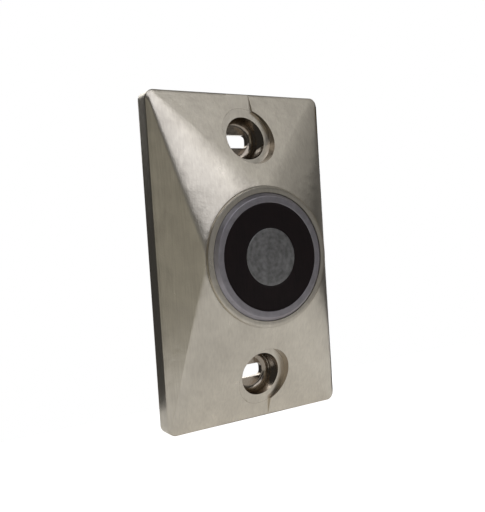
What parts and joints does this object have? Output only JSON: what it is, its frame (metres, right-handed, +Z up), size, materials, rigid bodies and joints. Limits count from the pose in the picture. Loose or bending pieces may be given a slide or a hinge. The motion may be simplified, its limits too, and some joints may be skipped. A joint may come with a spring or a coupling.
{
  "type": "electromagnetic door holder",
  "caption": "Flush wall-mount electromagnetic door holder: faceted cast cover plate with a round pot magnet in its collar and stepped screw recesses.",
  "frame": {"origin": "middle of the flat back of the cover plate, which lies on the wall", "axes": "+Y into the wall, so the magnet's face looks along -Y; +Z up, along the plate's long side; +X to the right of someone facing it"},
  "size_m": [0.0698, 0.0536, 0.1142],
  "materials": {
    "satin_nickel": "satin nickel plate on cast zinc, fine grain",
    "pole_steel": "turned and zinc-nickel plated steel, dull",
    "potting_epoxy": "black epoxy, smooth",
    "natural_nylon": "natural moulded nylon",
    "enamelled_copper": "enamelled copper wire",
    "coil_tape": "yellow polyester tape",
    "zinc_steel": "bright zinc plated steel",
    "black_steel": "black oxide",
    "spring_steel": "spring steel",
    "board_green": "green solder mask on glass epoxy",
    "bushing_black": "black moulded",
    "lead_red": "red insulation",
    "lead_black": "black insulation",
    "terminal_green": "green moulded nylon",
    "contact_brass": "brass",
    "package_black": "black moulded epoxy",
    "varistor_blue": "blue dipped epoxy",
    "solder": "bright solder"
  },
  "bodies": {
    "root": {"cover": "satin_nickel", "magnet_pot": "pole_steel", "pole_core": "pole_steel", "potting_ring": "potting_epoxy", "coil_bobbin": "natural_nylon", "coil_winding": "enamelled_copper", "winding_tape": "coil_tape", "core_screw": "black_steel", "core_lock_washer": "spring_steel", "spring_washer": "spring_steel", "retaining_plate": "zinc_steel", "retaining_screws": "zinc_steel", "circuit_board": "board_green", "board_spacers": "zinc_steel", "board_screws": "zinc_steel", "lead_bushing": "bushing_black", "coil_lead_start": "lead_red", "coil_lead_finish": "lead_black", "terminal_block": "terminal_green", "terminal_clamps": "contact_brass", "terminal_screws": "zinc_steel", "bridge_rectifier": "package_black", "surge_varistor": "varistor_blue", "solder_joints": "solder"}
  },
  "joints": []
}
